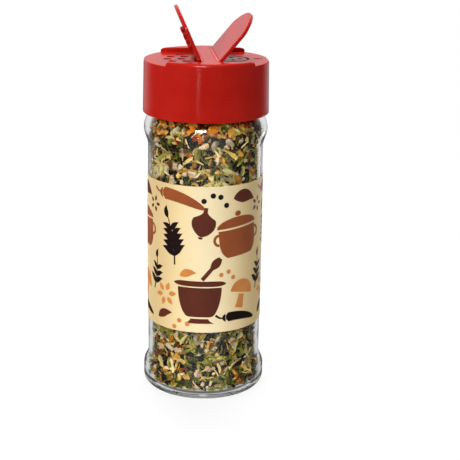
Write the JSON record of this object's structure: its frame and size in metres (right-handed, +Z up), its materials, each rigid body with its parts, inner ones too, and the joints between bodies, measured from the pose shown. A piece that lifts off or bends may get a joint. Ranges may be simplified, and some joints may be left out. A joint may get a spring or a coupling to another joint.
{
  "type": "spice shaker",
  "caption": "Clear glass spice jar with a wrap label and a spice mix inside, closed by a red screw cap with a sifter flap and a pour flap that swing on living hinges.",
  "frame": {"origin": "on the jar's axis, at the plane it stands on", "axes": "+Z up along the jar's axis; the cap's hinge bar lies along Y, the sifter flap opens on the -X side and the pour flap on the +X side"},
  "size_m": [0.0468, 0.0468, 0.1463],
  "materials": {
    "jar_glass": "polished",
    "label_paper": "satin",
    "spice_mix": "matte",
    "seal_foam": "matte",
    "red_plastic": "gloss"
  },
  "bodies": {
    "jar": {"glass_jar": "jar_glass", "label": "label_paper", "spice_fill": "spice_mix"},
    "seal": {"seal_ring": "seal_foam"},
    "cap": {"cap_body": "red_plastic", "sifter_hinge": "red_plastic", "pour_hinge": "red_plastic"},
    "sifter": {"sifter_flap": "red_plastic"},
    "pourer": {"pour_flap": "red_plastic"}
  },
  "joints": [
    {"name": "cap_lift", "type": "slide", "parent": "jar", "child": "seal", "axis": [0, 0, 1], "range_m": [0, 0.00735]},
    {"name": "cap_turn", "type": "hinge", "parent": "seal", "child": "cap", "pos_m": [0, 0, 0.115], "axis": [0, 0, 1], "range_deg": [0, 630]},
    {"name": "sifter_swing", "type": "hinge", "parent": "cap", "child": "sifter", "pos_m": [-0.0031, 0, 0.12782], "axis": [0, 1, 0], "range_deg": [-66.5, 28.5]},
    {"name": "pour_swing", "type": "hinge", "parent": "cap", "child": "pourer", "pos_m": [0.0031, 0, 0.12782], "axis": [0, -1, 0], "range_deg": [-50, 45]}
  ],
  "couplings": [
    {"joint": "cap_lift", "follows": "cap_turn", "m_per_rad": 0.00066845}
  ]
}
